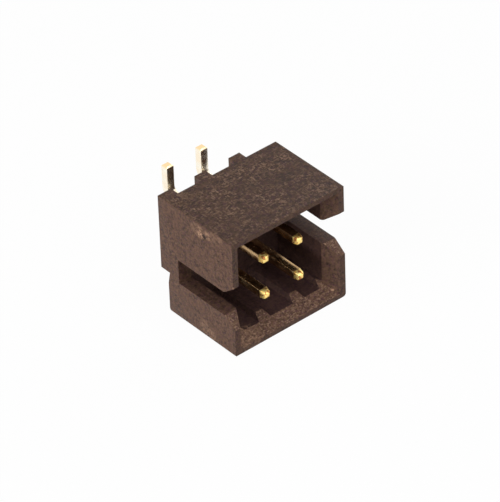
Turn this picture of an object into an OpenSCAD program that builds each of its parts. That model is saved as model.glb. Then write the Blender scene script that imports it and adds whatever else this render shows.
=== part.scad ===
// Board header with a shrouded mouth, two rows of two pins and keyed side slots.
// The frame: +X across the mouth, the mouth faces -Y, the tails end at +Y, +Z up.
// The origin is at the middle of the footprint, on the flat face the header lies on.

/* [Housing] */
// Width across the mouth
body_w = 8.2; // [7.6:0.1:12]
// Height over both rows
body_h = 7.75; // [7.4:0.05:11]
// Depth from the mouth to the rear face
body_d = 5.75; // [4.5:0.05:9]
// Thickness of each side wall
side_wall = 0.92; // [0.75:0.01:1.1]
// Thickness of the roof
roof_wall = 1.0; // [0.7:0.05:1.3]
// Thickness of the floor at its ridges
floor_wall = 1.0; // [0.8:0.05:1.2]
// Thickness of the wall that holds the contacts
rear_wall = 0.95; // [0.7:0.05:2]
// Radius of the long edges
edge_r = 0.06; // [0.04:0.01:0.3]
// Radius of the worn lower right long edge
worn_edge_r = 0.2; // [0.1:0.05:0.6]
// Radius of the lower rear edge
heel_r = 0.2; // [0.05:0.05:0.5]

/* [Mouth] */
// Width of the flat lip on each side
lip_side = 0.4; // [0.25:0.01:0.6]
// Height of the flat lip of the roof
lip_roof = 0.33; // [0.2:0.01:0.55]
// Height of the flat lip of the floor
lip_floor = 0.3; // [0.2:0.01:0.5]
// Angle of the lead-in, from the axis of the mouth
lead_angle = 27.7; // [20:0.1:40]

/* [Side slots] */
// Height of each side slot
slot_h = 1.65; // [1:0.05:2]
// How far each slot lies from mid-height, down on the left and up on the right
slot_shift = 0.6; // [0:0.05:0.9]
// Depth of the flare where a slot meets the mouth
flare_d = 0.84; // [0.3:0.01:1.5]
// Height that the flare adds at each side of a slot
flare_h = 0.66; // [0.3:0.01:0.9]
// Radius of the corner between flare and slot
flare_r = 0.3; // [0.1:0.05:0.6]

/* [Floor grooves] */
// Depth of the grooves in the floor
groove_d = 0.29; // [0.1:0.01:0.5]
// Width of the ridge under each column of pins
ridge_w = 0.5; // [0.3:0.05:0.9]
// Width of the ridge along each side wall
edge_ridge_w = 0.2; // [0.1:0.05:0.4]
// Sideways run of each groove flank
flank_w = 0.18; // [0.05:0.01:0.3]

/* [Rear ribs] */
// How far the ribs stand out from the rear face
rib_out = 0.6; // [0.3:0.05:1.2]
// Width of a rib
rib_w = 0.8; // [0.5:0.05:1.2]
// Distance from a column of pins to the right face of its rib
rib_right = 0.62; // [0.5:0.01:0.9]
// Height of the lower end of the ribs
rib_bottom = 2.75; // [2:0.05:4]
// Depth of the sloping recess under the ribs
recess_d = 0.15; // [0.05:0.01:0.3]
// Height of that recess
recess_h = 0.77; // [0.3:0.01:1.2]

/* [Contacts] */
// Spacing of the pins in both directions
pitch = 2.5; // [2.3:0.01:2.6]
// Side of the square wire
pin_w = 0.5; // [0.4:0.01:0.64]
// How far the middle between both rows lies below mid-height
rows_drop = 0.055; // [0:0.005:0.2]
// Distance of the pin tips behind the mouth
tip_inset = 0.45; // [0.2:0.05:1.5]
// Length of the tapered tip
tip_l = 0.42; // [0.06:0.01:0.5]
// Side of the blunt end of a tip
tip_w = 0.36; // [0.15:0.01:0.38]
// Distance from the rear face to the far face of the tails
tail_out = 3.47; // [2:0.01:5]
// Length of a tail from the axis of its pin to its end
tail_l = 2.0; // [1.3:0.01:2.2]
// Inner radius of the bend
bend_r = 0.3; // [0.15:0.05:0.6]
// Length of the bevel at the end of a tail
tail_bevel = 0.08; // [0.04:0.01:0.15]

/* [Hidden] */
// How far a cut runs past the face that it opens
past = 1;
// Steps in each rounded corner
corner_steps = 6;
// Round stretches of the bent wire
$fn = 48;

total_l = body_d + tail_out;
mouth_y = -total_l / 2;
cavity_d = body_d - rear_wall;
lead_rise = tan(lead_angle);
lead_d = (floor_wall - lip_floor) / lead_rise;
groove_z = floor_wall - groove_d;
half_pin = pin_w / 2;
outer_bend_r = bend_r + pin_w;
rib_count = 3;
rows_mid = body_h / 2 - rows_drop;

function unit(v) = v / norm(v);

// Points of an arc of radius r that rounds the corner b between a and c.
function rounded_corner(a, b, c, r) = let (
    to_a = unit(a - b),
    to_c = unit(c - b),
    half = acos(to_a * to_c) / 2,
    centre = b + unit(to_a + to_c) * r / sin(half),
    first = b + to_a * r / tan(half) - centre,
    last = b + to_c * r / tan(half) - centre,
    start = atan2(first.y, first.x),
    turn = atan2(first.x * last.y - first.y * last.x, first * last)
) [for (i = [0:corner_steps])
    centre + r * [cos(start + turn * i / corner_steps), sin(start + turn * i / corner_steps)]];

// Closed outline whose corners have the given radii, with 0 for a sharp corner.
function rounded_outline(points, radii) = let (n = len(points)) [
    for (i = [0:n - 1])
        each radii[i] > 0
            ? rounded_corner(points[(i + n - 1) % n], points[i], points[(i + 1) % n], radii[i])
            : [points[i]]
];

// Stands an X-Z outline up and runs it from y0 to y1.
module along_y(y0, y1) {
    translate([0, y1, 0]) rotate([90, 0, 0]) linear_extrude(y1 - y0) children();
}

// Stands a Y-Z outline up and runs it from x0 to x1.
module along_x(x0, x1) {
    translate([x0, 0, 0]) rotate([90, 0, 90]) linear_extrude(x1 - x0) children();
}

// Block whose rectangle changes evenly from one end to the other along Y.
// Each rectangle is [left, right, bottom, top].
module tapered_block(y0, rect0, y1, rect1) {
    intersection() {
        translate([0, 0, min(rect0[2], rect1[2])])
            linear_extrude(max(rect0[3], rect1[3]) - min(rect0[2], rect1[2]))
                polygon([[rect0[0], y0], [rect0[1], y0], [rect1[1], y1], [rect1[0], y1]]);
        along_x(min(rect0[0], rect1[0]), max(rect0[1], rect1[1]))
            polygon([[y0, rect0[2]], [y1, rect1[2]], [y1, rect1[3]], [y0, rect0[3]]]);
    }
}

// The solid block of the shroud, with its rounded edges and rear recess.
module block() {
    recess_y = body_d - recess_d;
    recess_z = rib_bottom - recess_h;
    intersection() {
        along_y(0, body_d) polygon(rounded_outline(
            [[-body_w / 2, 0], [body_w / 2, 0], [body_w / 2, body_h], [-body_w / 2, body_h]],
            [edge_r, worn_edge_r, edge_r, edge_r]));
        along_x(-body_w / 2, body_w / 2) polygon(rounded_outline(
            [[0, 0], [body_d, 0], [body_d, recess_z], [recess_y, rib_bottom],
             [body_d, rib_bottom], [body_d, body_h], [0, body_h]],
            [0, heel_r, 0, 0, 0, 0, 0]));
    }
}

// Upright ribs on the rear face. The first one ends flush with the left side.
module rear_ribs() {
    for (i = [0:rib_count - 1]) {
        right = (i - 1.5) * pitch + rib_right;
        left = i == 0 ? -body_w / 2 : right - rib_w;
        translate([left, body_d - recess_d, rib_bottom])
            cube([right - left, rib_out + recess_d, body_h - rib_bottom]);
    }
}

// The space inside the shroud: main hollow, floor grooves and lead-in.
module cavity() {
    half_in = body_w / 2 - side_wall;
    translate([-half_in, -past, floor_wall])
        cube([2 * half_in, cavity_d + past, body_h - roof_wall - floor_wall]);
    along_y(-past, cavity_d) floor_grooves(half_in);
    reach = past * lead_rise;
    inset = lead_d * lead_rise;
    tapered_block(
        -past,
        [-body_w / 2 + lip_side - reach, body_w / 2 - lip_side + reach,
         lip_floor - reach, body_h - lip_roof + reach],
        lead_d,
        [-body_w / 2 + lip_side + inset, body_w / 2 - lip_side - inset,
         lip_floor + inset, body_h - lip_roof - inset]);
}

// Outlines of the grooves between the ridges of the floor.
module floor_grooves(half_in) {
    for (i = [-1:1]) {
        left = max((i - 0.5) * pitch + ridge_w / 2, -half_in + edge_ridge_w);
        right = min((i + 0.5) * pitch - ridge_w / 2, half_in - edge_ridge_w);
        polygon([[left + flank_w, groove_z], [right - flank_w, groove_z],
                 [right, floor_wall], [right, floor_wall + groove_d],
                 [left, floor_wall + groove_d], [left, floor_wall]]);
    }
}

// Outline of a side slot in Y-Z, flared where it meets the mouth.
module slot_outline(mid) {
    low = mid - slot_h / 2;
    high = mid + slot_h / 2;
    slope = flare_h / flare_d;
    polygon(rounded_outline(
        [[-past, low - flare_h - past * slope], [flare_d, low], [cavity_d, low],
         [cavity_d, high], [flare_d, high], [-past, high + flare_h + past * slope]],
        [0, flare_r, 0, 0, flare_r, 0]));
}

// Both side slots. They lie at different heights, so a plug fits one way up only.
module side_slots() {
    for (side = [-1, 1])
        along_x(side < 0 ? -body_w / 2 - past : body_w / 2 - side_wall - lead_d,
                side < 0 ? -body_w / 2 + side_wall + lead_d : body_w / 2 + past)
            slot_outline(body_h / 2 + side * slot_shift);
}

// Places its children on each of the four pin axes.
module on_each_pin() {
    for (column = [-1, 1], row = [-1, 1])
        translate([column * pitch / 2, 0, rows_mid + row * pitch / 2]) children();
}

module housing() {
    color([0.2, 0.17, 0.15])
        translate([0, mouth_y, 0])
            difference() {
                union() {
                    block();
                    rear_ribs();
                }
                cavity();
                side_slots();
                on_each_pin()
                    translate([-half_pin, cavity_d - past, -half_pin])
                        cube([pin_w, rear_wall + rib_out + 2 * past, pin_w]);
            }
}

// One contact on the axis of its pin, with its tail turned up.
module contact() {
    bend_y = body_d + tail_out - outer_bend_r;
    bend_z = bend_r + half_pin;
    square_end = [-half_pin, half_pin, -half_pin, half_pin];
    tip_end = [-tip_w / 2, tip_w / 2, -tip_w / 2, tip_w / 2];
    tail_end = [-half_pin + tail_bevel, half_pin - tail_bevel,
                -half_pin + tail_bevel, half_pin - tail_bevel];
    tapered_block(tip_inset, tip_end, tip_inset + tip_l, square_end);
    translate([-half_pin, tip_inset + tip_l, -half_pin])
        cube([pin_w, bend_y - tip_inset - tip_l, pin_w]);
    translate([0, bend_y, bend_z]) rotate([0, -90, 0]) rotate([0, 0, 90])
        rotate_extrude(angle = 90)
            translate([bend_r, -half_pin]) square(pin_w);
    translate([-half_pin, bend_y + bend_r, bend_z])
        cube([pin_w, pin_w, tail_l - bend_z - tail_bevel]);
    translate([0, bend_y + bend_r + half_pin, 0]) rotate([90, 0, 0])
        tapered_block(tail_l - tail_bevel, square_end, tail_l, tail_end);
}

// A contact in its place: column is -1 or 1 for left or right, row -1 or 1 for
// lower or upper. The tails of the lower row turn down.
module placed_contact(column, row) {
    color([0.9, 0.72, 0.35])
        translate([column * pitch / 2, mouth_y, rows_mid + row * pitch / 2])
            mirror([0, 0, row < 0 ? 1 : 0]) contact();
}

module contact_upper_left() { placed_contact(-1, 1); }
module contact_upper_right() { placed_contact(1, 1); }
module contact_lower_left() { placed_contact(-1, -1); }
module contact_lower_right() { placed_contact(1, -1); }

housing();
contact_upper_left();
contact_upper_right();
contact_lower_left();
contact_lower_right();
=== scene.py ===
"""Looks of a small shrouded pin header: moulded dark housing, gold-plated square contacts."""
import math

import bmesh
import bpy
from mathutils import Matrix, Vector


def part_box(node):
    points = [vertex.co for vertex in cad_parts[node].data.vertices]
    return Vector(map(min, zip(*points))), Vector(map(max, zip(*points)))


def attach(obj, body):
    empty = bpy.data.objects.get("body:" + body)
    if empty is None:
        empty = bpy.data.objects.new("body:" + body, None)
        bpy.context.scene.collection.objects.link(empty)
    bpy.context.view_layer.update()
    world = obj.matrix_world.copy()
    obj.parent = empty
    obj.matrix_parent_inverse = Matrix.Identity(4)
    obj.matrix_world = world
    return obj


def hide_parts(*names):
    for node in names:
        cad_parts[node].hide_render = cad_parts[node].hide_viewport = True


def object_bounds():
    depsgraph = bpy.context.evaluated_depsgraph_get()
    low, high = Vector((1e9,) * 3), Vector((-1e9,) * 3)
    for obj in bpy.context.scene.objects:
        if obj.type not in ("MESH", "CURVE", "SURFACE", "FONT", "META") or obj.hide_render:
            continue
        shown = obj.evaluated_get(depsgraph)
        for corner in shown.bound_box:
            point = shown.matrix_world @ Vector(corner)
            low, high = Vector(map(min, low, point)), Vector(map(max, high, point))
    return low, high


MM = 0.001

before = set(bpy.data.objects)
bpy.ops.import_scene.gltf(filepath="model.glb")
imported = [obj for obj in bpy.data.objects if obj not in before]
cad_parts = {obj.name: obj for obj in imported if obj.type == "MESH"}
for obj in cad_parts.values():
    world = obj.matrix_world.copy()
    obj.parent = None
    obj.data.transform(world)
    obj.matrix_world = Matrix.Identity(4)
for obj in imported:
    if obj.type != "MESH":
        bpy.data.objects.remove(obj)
cad_low, cad_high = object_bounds()
cad_centre = (cad_low + cad_high) / 2
housing_low, housing_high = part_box("housing")
# Walls round the cavity, its depth, height of the groove floors and reach of the lead-in to them
SIDE_WALL = 0.92 * MM
ROOF_WALL = 1.0 * MM
CAVITY_DEPTH = 4.8 * MM
GROOVE_FLOOR = 0.71 * MM
LEAD_REACH = 0.78 * MM
# Length of the tapered end of a contact
TIP_LENGTH = 0.42 * MM
# Chip in the left side, close under the top edge
CHIP_AT = Vector((housing_low.x, housing_low.y + 2.36 * MM, housing_low.z + 7.09 * MM))
CHIP_RADIUS = 0.15 * MM
# Small rounds of the edges of the moulding and of the wire, and of the front ends of the pins
HOUSING_ROUND = 0.03 * MM
PIN_ROUND = 0.015 * MM
TIP_ROUND = 0.12 * MM
# Gentlest edge, in degrees, that still counts as an edge
LEAST_EDGE = 22

# Sizes of the patterns in the plastic
PATCH = 1.3 * MM
BLOTCH = 0.5 * MM
MOTTLE = 0.22 * MM
SPECK = 0.15 * MM
TINT = 0.13 * MM
FIBRE_WIDTH = 0.1 * MM
# Sizes of the patterns on the wire: tarnish, the dark spots of painted reflection on the tips and
# drawing lines
TARNISH = 0.4 * MM
SPOT = 0.2 * MM
LINE_WIDTH = 0.05 * MM

# Linear colours of the plastic
DARK_GRAIN = (0.022, 0.011, 0.008)
LIGHT_GRAIN = (0.145, 0.079, 0.049)
FIBRE = (0.27, 0.165, 0.11)
# Pale colour of the wear marks, also used for one painted glint
WORN_AND_GLINT = (0.45, 0.27, 0.17)
CHIPPED = (0.03, 0.015, 0.01)
# Tones laid over the plastic: a linear colour and the share of it at most
PURPLE_TINT = ((0.085, 0.032, 0.050), 0.5)
OLIVE_TINT = ((0.072, 0.046, 0.022), 0.35)
STAIN = ((0.138, 0.072, 0.048), 0.3)
# Painted shade: the top face is darkened to stand in for the little light that falls on it
TOP_PAINTED_SHADE = ((0.018, 0.010, 0.007), 0.36)
# Painted shade on the level ledges below the top, such as the slot bottoms under the upper wall
LEDGE_PAINTED_SHADE = ((0.020, 0.009, 0.012), 0.3)
# Painted shade: the cavity walls behind the lead-in are darkened where the roof and walls shade them
CAVITY_PAINTED_SHADE = ((0.018, 0.008, 0.013), 0.55)
# Partly a paler, coarser finish of the lead-in and flare slopes, partly painted light that they
# catch from the front
SLOPE_PALE_AND_PAINTED_LIGHT = ((0.25, 0.125, 0.080), 0.1)
# Linear colours of the plated wire, as the two ends of a range or one colour
BODY_GOLD = ((0.56, 0.35, 0.17), (0.74, 0.50, 0.26))
TIP_GOLD = ((1.0, 0.62, 0.17), (1.0, 0.86, 0.34))
TAIL_GOLD = ((1.0, 0.86, 0.66), (1.0, 0.94, 0.80))
CUT_GOLD = (1.0, 0.74, 0.42)
# Tone of the dark spots on the tips, painted reflection of the dark cavity
TIP_PAINTED_REFLECTION = ((0.35, 0.09, 0.03), 0.9)

# Half width of the floor, and how far it lies below the part
FLOOR_HALF = 0.6
FLOOR_GAP = 0.02 * MM


# Small helpers for node trees

class Shader:
    """A material's node tree, with short calls for the nodes used here."""

    def __init__(self, name):
        self.material = bpy.data.materials.new(name)
        self.material.use_nodes = True
        self.tree = self.material.node_tree
        self.surface = self.tree.nodes["Principled BSDF"]
        self.coordinates = self.add("ShaderNodeTexCoord")
        self.place = self.coordinates.outputs["Object"]

    def add(self, kind, **settings):
        node = self.tree.nodes.new(kind)
        for key, value in settings.items():
            setattr(node, key, value)
        return node

    def link(self, source, target):
        self.tree.links.new(source, target)

    def split(self, vector):
        """The X, Y and Z of a vector, by name."""
        node = self.add("ShaderNodeSeparateXYZ")
        self.link(vector, node.inputs["Vector"])
        return node.outputs

    def noise(self, size, detail=3.0, rough=0.55, stretch=(1, 1, 1), offset=(0, 0, 0)):
        """Noise whose blobs are about size metres across."""
        mapping = self.add("ShaderNodeMapping")
        mapping.inputs["Scale"].default_value = stretch
        mapping.inputs["Location"].default_value = offset
        self.link(self.place, mapping.inputs["Vector"])
        node = self.add("ShaderNodeTexNoise")
        node.inputs["Scale"].default_value = 1 / size
        node.inputs["Detail"].default_value = detail
        node.inputs["Roughness"].default_value = rough
        self.link(mapping.outputs["Vector"], node.inputs["Vector"])
        return node.outputs["Fac"]

    def ramp(self, source, low, high, start=0.0, end=1.0):
        """Maps low..high of the source to start..end, clamped."""
        node = self.add("ShaderNodeMapRange", clamp=True)
        node.inputs["From Min"].default_value = low
        node.inputs["From Max"].default_value = high
        node.inputs["To Min"].default_value = start
        node.inputs["To Max"].default_value = end
        self.link(source, node.inputs["Value"])
        return node.outputs["Result"]

    def math(self, operation, a, b=0):
        """One operation on two values, each a number or a socket."""
        node = self.add("ShaderNodeMath", operation=operation)
        for socket, value in zip(node.inputs, (a, b)):
            if isinstance(value, (int, float)):
                socket.default_value = value
            else:
                self.link(value, socket)
        return node.outputs["Value"]

    def times(self, first, *others):
        """Product of all the values."""
        for other in others:
            first = self.math("MULTIPLY", first, other)
        return first

    def mix(self, factor, a, b):
        """Colour a where the factor is 0, b where it is 1."""
        node = self.add("ShaderNodeMix", data_type="RGBA")
        for key, value in (("Factor", factor), ("A", a), ("B", b)):
            socket = [s for s in node.inputs if s.name == key and s.enabled][0]
            if isinstance(value, (tuple, float)):
                socket.default_value = (*value, 1) if isinstance(value, tuple) else value
            else:
                self.link(value, socket)
        return [s for s in node.outputs if s.enabled][0]

    def lay(self, tone, mask, colour):
        """The colour with a tone, a colour and its share, laid over it by the mask."""
        over, share = tone
        return self.mix(self.times(mask, share), colour, over)

    def near(self, centre, radius, ragged=0.5):
        """1 at the centre and 0 beyond the radius, with a ragged edge. Both are in metres."""
        gap = self.add("ShaderNodeVectorMath", operation="DISTANCE")
        gap.inputs[1].default_value = centre
        self.link(self.place, gap.inputs[0])
        wander = self.math("MULTIPLY", self.noise(radius * 0.6, detail=3), radius * 2 * ragged)
        reach = self.math("ADD", gap.outputs["Value"], wander)
        return self.ramp(reach, radius * (0.7 + ragged), radius * (1.1 + ragged), 1.0, 0.0)

    def bump(self, height, depth):
        """Adds a bump of the given depth in metres on top of the ones before it."""
        node = self.add("ShaderNodeBump")
        node.inputs["Distance"].default_value = depth
        node.inputs["Strength"].default_value = 1.0
        self.link(height, node.inputs["Height"])
        before = self.surface.inputs["Normal"].links
        if before:
            self.link(before[0].from_socket, node.inputs["Normal"])
        self.link(node.outputs["Normal"], self.surface.inputs["Normal"])


# Plastic of the housing

def sloping_faces(m):
    """1 on the lead-in and flare faces that look up and out of the mouth, 0 elsewhere."""
    facing = m.split(m.coordinates.outputs["Normal"])
    outward = m.ramp(facing["Y"], -0.36, -0.28, 1.0, 0.0)
    upward = m.ramp(facing["Z"], 0.5, 0.6)
    return m.times(outward, upward)


def upper_faces(m):
    """1 on the top face and 1 on the ledges below it, as two masks."""
    at, facing = m.split(m.place), m.split(m.coordinates.outputs["Normal"])
    level = m.ramp(facing["Z"], 0.9, 0.98)
    high = m.ramp(at["Z"], housing_high.z - 0.2 * MM, housing_high.z - 0.1 * MM)
    return m.times(level, high), m.times(level, m.math("SUBTRACT", 1.0, high))


def inside_cavity(m):
    """1 on the walls of the cavity behind the lead-in, 0 elsewhere."""
    at, facing = m.split(m.place), m.split(m.coordinates.outputs["Normal"])
    edge = 0.03 * MM
    half = housing_high.x - SIDE_WALL
    roof = housing_high.z - ROOF_WALL
    lead_end = housing_low.y + LEAD_REACH
    cavity_end = housing_low.y + CAVITY_DEPTH
    sideways = m.ramp(m.math("ABSOLUTE", at["X"]), half, half + edge, 1.0, 0.0)
    above = m.ramp(at["Z"], GROOVE_FLOOR - 2 * edge, GROOVE_FLOOR - edge)
    below = m.ramp(at["Z"], roof, roof + edge, 1.0, 0.0)
    behind = m.ramp(at["Y"], lead_end - edge, lead_end + edge)
    ahead = m.ramp(at["Y"], cavity_end + edge, cavity_end + 2 * edge, 1.0, 0.0)
    # Near the mouth only walls that run inward count. Deeper in, every face does
    inward = m.ramp(m.math("ABSOLUTE", facing["Y"]), 0.3, 0.4, 1.0, 0.0)
    deep = m.ramp(at["Y"], lead_end + 1.2 * MM, lead_end + 1.3 * MM)
    return m.times(sideways, ahead, above, below, behind, m.math("MAXIMUM", inward, deep))


def grain_colour(m, mottle, rough_faces):
    """Mottled brown with purple and olive tints, and stains on the smooth faces."""
    tint = m.noise(TINT, detail=2, rough=0.5, offset=(5, 4, 6))
    blotches = m.noise(BLOTCH, detail=2, rough=0.5, offset=(6, 3, 5))
    smooth_faces = m.math("SUBTRACT", 1.0, rough_faces)
    colour = m.mix(m.ramp(mottle, 0.38, 0.62), DARK_GRAIN, LIGHT_GRAIN)
    colour = m.lay(PURPLE_TINT, m.ramp(tint, 0.52, 0.62), colour)
    colour = m.lay(OLIVE_TINT, m.ramp(tint, 0.38, 0.48, 1.0, 0.0), colour)
    return m.lay(STAIN, m.times(smooth_faces, m.ramp(blotches, 0.42, 0.58)), colour)


def surface_fibres(m):
    """1 on short fibres that lie along and across the part, 0 between them."""
    along = m.noise(FIBRE_WIDTH, detail=2, rough=0.6, stretch=(1, 0.4, 1), offset=(3, 1, 2))
    across = m.noise(FIBRE_WIDTH, detail=2, rough=0.6, stretch=(0.4, 1, 1), offset=(8, 5, 2))
    return m.math("MAXIMUM", m.ramp(along, 0.55, 0.68), m.ramp(across, 0.55, 0.68))


def scuffed_share(m, slopes, rough_faces):
    """How strongly fibres show: in patches, fully on slopes and least on smooth faces."""
    patches = m.noise(PATCH, detail=3, rough=0.6, offset=(2, 7, 1))
    scuffed = m.math("MAXIMUM", m.ramp(patches, 0.40, 0.60, 0.25, 0.9), slopes)
    return m.times(scuffed, m.ramp(rough_faces, 0.0, 1.0, 0.3, 1.0))


def wear_and_glint_marks():
    """Places, radii and strengths of the pale nicks and rubbed spots on the housing, and of a
    painted highlight, a glint on the lower flare's outer corner.
    """
    left, right = housing_low.x, housing_high.x
    mouth, top = housing_low.y, housing_high.z
    return (
        (CHIP_AT + Vector((0, 0.30, -0.02)) * MM, 0.28 * MM, 1.0),
        (CHIP_AT + Vector((0, 0.30, 0.25)) * MM, 0.35 * MM, 0.35),
        (CHIP_AT + Vector((0, -0.22, 0.20)) * MM, 0.28 * MM, 0.5),
        (CHIP_AT + Vector((0, 0.75, 0.15)) * MM, 0.45 * MM, 0.25),
        (CHIP_AT + Vector((0, -0.7, 0.4)) * MM, 0.45 * MM, 0.2),
        (CHIP_AT + Vector((0, -1.35, 0.5)) * MM, 0.25 * MM, 0.2),
        (Vector((left + 1.3 * MM, mouth + 0.35 * MM, 0.45 * MM)), 0.9 * MM, 0.35),
        (Vector((left, mouth + 2.6 * MM, 0.62 * MM)), 0.5 * MM, 0.25),
        (Vector((left, mouth + 2.0 * MM, 0.35 * MM)), 0.35 * MM, 0.3),
        (Vector((left, mouth, 4.8 * MM)), 0.09 * MM, 0.7),
        # Painted highlight: a glint on the outer corner of the lower flare, drawn as a pale mark
        (Vector((left, mouth + 0.65 * MM, 2.38 * MM)), 0.07 * MM, 0.7),
        (Vector((right - 0.64 * MM, mouth + 0.42 * MM, 0.52 * MM)), 0.12 * MM, 0.8),
        (Vector((right - 0.1 * MM, mouth, 0.97 * MM)), 0.1 * MM, 0.6),
        (Vector((right - 0.8 * MM, mouth + 0.78 * MM, 3.62 * MM)), 0.1 * MM, 0.6),
        (Vector((right - 0.3 * MM, mouth, top - 0.25 * MM)), 0.25 * MM, 0.2),
    )


def with_wear_and_glint(m, colour):
    """The colour with the pale wear marks and the painted glint, broken up into specks."""
    specks = m.ramp(m.noise(SPECK, detail=3, rough=0.7, offset=(3, 3, 8)), 0.44, 0.56)
    for place, radius, share in wear_and_glint_marks():
        colour = m.mix(m.times(m.near(place, radius), specks, share), colour, WORN_AND_GLINT)
    return colour


def moulded_material(name):
    """Dark brown fibre-filled plastic: matt, mottled and scuffed, with painted shade on the top, the
    ledges and inside the cavity, and painted light on the slopes of the mouth.
    """
    m = Shader(name)
    mottle = m.noise(MOTTLE, detail=4, rough=0.8, offset=(1, 2, 3))
    slopes, (top, ledges) = sloping_faces(m), upper_faces(m)
    rough_faces = m.math("MAXIMUM", slopes, top)
    fibres = surface_fibres(m)
    chip = m.near(CHIP_AT, CHIP_RADIUS, ragged=0.4)
    colour = grain_colour(m, mottle, rough_faces)
    # Painted shade on the top face
    colour = m.lay(TOP_PAINTED_SHADE, top, colour)
    # Painted shade on the ledges under the upper wall
    colour = m.lay(LEDGE_PAINTED_SHADE, ledges, colour)
    colour = m.mix(m.times(fibres, scuffed_share(m, slopes, rough_faces)), colour, FIBRE)
    # Painted light on the slopes facing up and out of the mouth, over their paler finish
    colour = m.lay(SLOPE_PALE_AND_PAINTED_LIGHT, slopes, colour)
    # Painted shade inside the cavity
    colour = m.lay(CAVITY_PAINTED_SHADE, inside_cavity(m), colour)
    colour = m.mix(chip, with_wear_and_glint(m, colour), CHIPPED)
    m.link(colour, m.surface.inputs["Base Color"])
    m.surface.inputs["Specular IOR Level"].default_value = 0.17
    m.link(m.ramp(mottle, 0.3, 0.7, 0.45, 0.62), m.surface.inputs["Roughness"])
    m.bump(fibres, 0.006 * MM)
    m.bump(mottle, 0.03 * MM)
    m.bump(m.math("SUBTRACT", 1.0, chip), 0.06 * MM)
    return m.material


# Plated wire of the contacts

def tip_colour(m, lines):
    """Bright yellow gold with fine lines along the wire and dark red spots painted as reflections of
    the dark cavity.
    """
    spots = m.noise(SPOT, detail=2, rough=0.5, offset=(4, 2, 9))
    colour = m.mix(m.ramp(lines, 0.42, 0.58), *TIP_GOLD)
    # Painted reflection: dark red spots on the tips
    return m.lay(TIP_PAINTED_REFLECTION, m.ramp(spots, 0.54, 0.60), colour)


def tail_colour(m, tarnish, height):
    """Pale gold, warmer on the cut ends at the top and bottom of the part."""
    top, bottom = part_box("contact_upper_left")[1].z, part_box("contact_lower_left")[0].z
    middle, half = (top + bottom) / 2, (top - bottom) / 2
    reach = m.math("ABSOLUTE", m.math("SUBTRACT", height, middle))
    cut_end = m.ramp(reach, half - 0.13 * MM, half - 0.03 * MM)
    return m.mix(cut_end, m.mix(m.ramp(tarnish, 0.35, 0.65), *TAIL_GOLD), CUT_GOLD)


def plated_material(name):
    """Gold plating over square wire: rich on the mating end, paler on the tail."""
    m = Shader(name)
    at = m.split(m.place)
    tarnish = m.noise(TARNISH, detail=3, rough=0.5)
    lines = m.noise(LINE_WIDTH, detail=2, rough=0.5, stretch=(1, 0.12, 1))
    tip_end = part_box("contact_upper_left")[0].y + TIP_LENGTH
    rear = housing_high.y
    on_tip = m.ramp(at["Y"], tip_end - 0.04 * MM, tip_end + 0.06 * MM, 1.0, 0.0)
    on_tail = m.ramp(at["Y"], rear - 0.3 * MM, rear + 0.3 * MM)
    colour = m.mix(m.ramp(tarnish, 0.35, 0.65), *BODY_GOLD)
    colour = m.mix(on_tip, colour, tip_colour(m, lines))
    colour = m.mix(on_tail, colour, tail_colour(m, tarnish, at["Z"]))
    m.link(colour, m.surface.inputs["Base Color"])
    m.surface.inputs["Metallic"].default_value = 1.0
    dullness = m.math("ADD", m.ramp(tarnish, 0.3, 0.7, 0.18, 0.28), m.times(on_tip, 0.2))
    m.link(dullness, m.surface.inputs["Roughness"])
    m.bump(lines, 0.0005 * MM)
    m.bump(tarnish, 0.003 * MM)
    return m.material


# Pieces

def round_tip(grid, radius):
    """Rounds the edges of the foremost end face."""
    front = min(vertex.co.y for vertex in grid.verts)
    edges = [edge for edge in grid.edges
             if all(vertex.co.y < front + 0.01 * MM for vertex in edge.verts)]
    bmesh.ops.bevel(
        grid, geom=edges, offset=radius, segments=5, profile=0.5, affect="EDGES", clamp_overlap=True)


def clean_mesh(node, name, tip_radius):
    """A copy of a CAD node's mesh with its flat faces whole again."""
    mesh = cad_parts[node].data.copy()
    mesh.name = name
    grid = bmesh.new()
    grid.from_mesh(mesh)
    bmesh.ops.remove_doubles(grid, verts=grid.verts, dist=0.0005 * MM)
    bmesh.ops.dissolve_limit(
        grid, angle_limit=math.radians(1.0), verts=grid.verts, edges=grid.edges)
    if tip_radius:
        round_tip(grid, tip_radius)
    grid.to_mesh(mesh)
    grid.free()
    return mesh


def round_edges(piece, width):
    bevel = piece.modifiers.new("edge_round", "BEVEL")
    bevel.width = width
    bevel.segments = 3
    bevel.limit_method = "ANGLE"
    bevel.angle_limit = math.radians(LEAST_EDGE)
    bevel.use_clamp_overlap = True
    bevel.harden_normals = True


def softened_copy(node, name, width, material, tip_radius=0):
    """A visible copy of a CAD node whose sharp edges get a true small round."""
    mesh = clean_mesh(node, name, tip_radius)
    piece = bpy.data.objects.new(name, mesh)
    bpy.context.scene.collection.objects.link(piece)
    mesh.materials.clear()
    mesh.materials.append(material)
    mesh.shade_smooth()
    round_edges(piece, width)
    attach(piece, "root")
    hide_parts(node)


moulded = moulded_material("moulded_plastic")
plated = plated_material("gold_plating")
softened_copy("housing", "housing_moulding", HOUSING_ROUND, moulded)
for row in ("upper", "lower"):
    for side in ("left", "right"):
        softened_copy(f"contact_{row}_{side}", f"pin_{row}_{side}", PIN_ROUND, plated,
                      tip_radius=TIP_ROUND)


# Stage: pale floor and surroundings that the camera sees as white

def seen_directly(tree):
    """1 for camera, mirror and see-through rays, 0 for the rest."""
    path = tree.nodes.new("ShaderNodeLightPath")
    total = path.outputs["Is Camera Ray"]
    for kind in ("Is Glossy Ray", "Is Transmission Ray"):
        add = tree.nodes.new("ShaderNodeMath")
        add.operation = "ADD"
        add.use_clamp = True
        tree.links.new(total, add.inputs[0])
        tree.links.new(path.outputs[kind], add.inputs[1])
        total = add.outputs[0]
    return total


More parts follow.
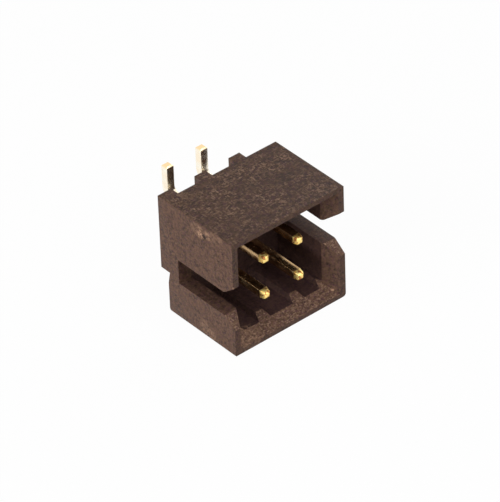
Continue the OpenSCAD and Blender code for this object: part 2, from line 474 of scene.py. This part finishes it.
def white_floor(bounce, seen_colour, glow_share):
    """Floor that bounces a grey and is seen as near white, with the part's shadow on it."""
    half = FLOOR_HALF
    mesh = bpy.data.meshes.new("floor")
    mesh.from_pydata(
        [(-half, -half, 0), (half, -half, 0), (half, half, 0), (-half, half, 0)], [], [(0, 1, 2, 3)])
    floor = bpy.data.objects.new("floor", mesh)
    floor.location.z = cad_low.z - FLOOR_GAP
    bpy.context.scene.collection.objects.link(floor)
    m = Shader("floor_white")
    seen = seen_directly(m.tree)
    m.link(m.mix(seen, (bounce,) * 3, (seen_colour,) * 3), m.surface.inputs["Base Color"])
    m.surface.inputs["Roughness"].default_value = 0.9
    m.surface.inputs["Specular IOR Level"].default_value = 0.0
    glow = m.add("ShaderNodeEmission")
    glow.inputs["Strength"].default_value = 1.0
    mixer = m.add("ShaderNodeMixShader")
    m.link(m.times(seen, glow_share), mixer.inputs["Fac"])
    m.link(m.surface.outputs["BSDF"], mixer.inputs[1])
    m.link(glow.outputs["Emission"], mixer.inputs[2])
    m.link(mixer.outputs["Shader"], m.tree.nodes["Material Output"].inputs["Surface"])
    mesh.materials.append(m.material)


def white_world(level):
    """World that lights the part at the given level and is seen as white."""
    world = bpy.data.worlds.new("studio")
    bpy.context.scene.world = world
    world.use_nodes = True
    tree = world.node_tree
    fill = tree.nodes["Background"]
    fill.inputs["Color"].default_value = (1, 1, 1, 1)
    fill.inputs["Strength"].default_value = level
    seen = tree.nodes.new("ShaderNodeBackground")
    seen.inputs["Color"].default_value = (1, 1, 1, 1)
    seen.inputs["Strength"].default_value = 1.0
    mixer = tree.nodes.new("ShaderNodeMixShader")
    tree.links.new(seen_directly(tree), mixer.inputs["Fac"])
    tree.links.new(fill.outputs["Background"], mixer.inputs[1])
    tree.links.new(seen.outputs["Background"], mixer.inputs[2])
    tree.links.new(mixer.outputs["Shader"], tree.nodes["World Output"].inputs["Surface"])


def soft_lamp(name, direction, distance, size, level):
    """Square lamp that shines on the part from the given direction.

    level is about what it adds to a white surface that faces it.
    """
    data = bpy.data.lights.new(name, "AREA")
    data.shape = "SQUARE"
    data.size = size
    data.energy = level * math.pi ** 2 * distance ** 2
    lamp = bpy.data.objects.new(name, data)
    towards = Vector(direction).normalized()
    lamp.location = cad_centre + towards * distance
    lamp.rotation_euler = towards.to_track_quat("Z", "Y").to_euler()
    bpy.context.scene.collection.objects.link(lamp)


def place_camera(aim, azimuth, elevation, roll, distance, lens):
    """Long-lens camera at the viewing angle of the photograph. Angles are in degrees."""
    azimuth, elevation, roll = (math.radians(a) for a in (azimuth, elevation, roll))
    back = Vector((math.sin(azimuth) * math.cos(elevation),
                   -math.cos(azimuth) * math.cos(elevation),
                   math.sin(elevation)))
    level = Vector((math.cos(azimuth), math.sin(azimuth), 0))
    upright = back.cross(level)
    right = level * math.cos(roll) + upright * math.sin(roll)
    up = back.cross(right)
    data = bpy.data.cameras.new("camera")
    data.sensor_fit = "VERTICAL"
    data.sensor_height = 36
    data.lens = lens
    data.clip_start = 0.01
    data.clip_end = 10
    camera = bpy.data.objects.new("camera", data)
    turn = Matrix((right, up, back)).transposed().to_4x4()
    camera.matrix_world = Matrix.Translation(aim + back * distance) @ turn
    bpy.context.scene.collection.objects.link(camera)
    bpy.context.scene.camera = camera


white_floor(bounce=0.25, seen_colour=0.95, glow_share=0.96)
white_world(level=0.03)
soft_lamp("left_lamp", (-1.0, -0.05, 0.25), distance=0.35, size=0.3, level=1.38)
soft_lamp("top_lamp", (0.0, -0.8, 1.0), distance=0.4, size=0.35, level=0.66)
soft_lamp("right_lamp", (1.0, 0.2, 0.4), distance=0.4, size=0.3, level=0.27)
place_camera(aim=housing_low + Vector((4.313, 3.690, 3.119)) * MM, azimuth=-39.24,
             elevation=37.39, roll=-2.19, distance=247.26 * MM, lens=314.47)
bpy.context.scene.view_settings.view_transform = "Standard"
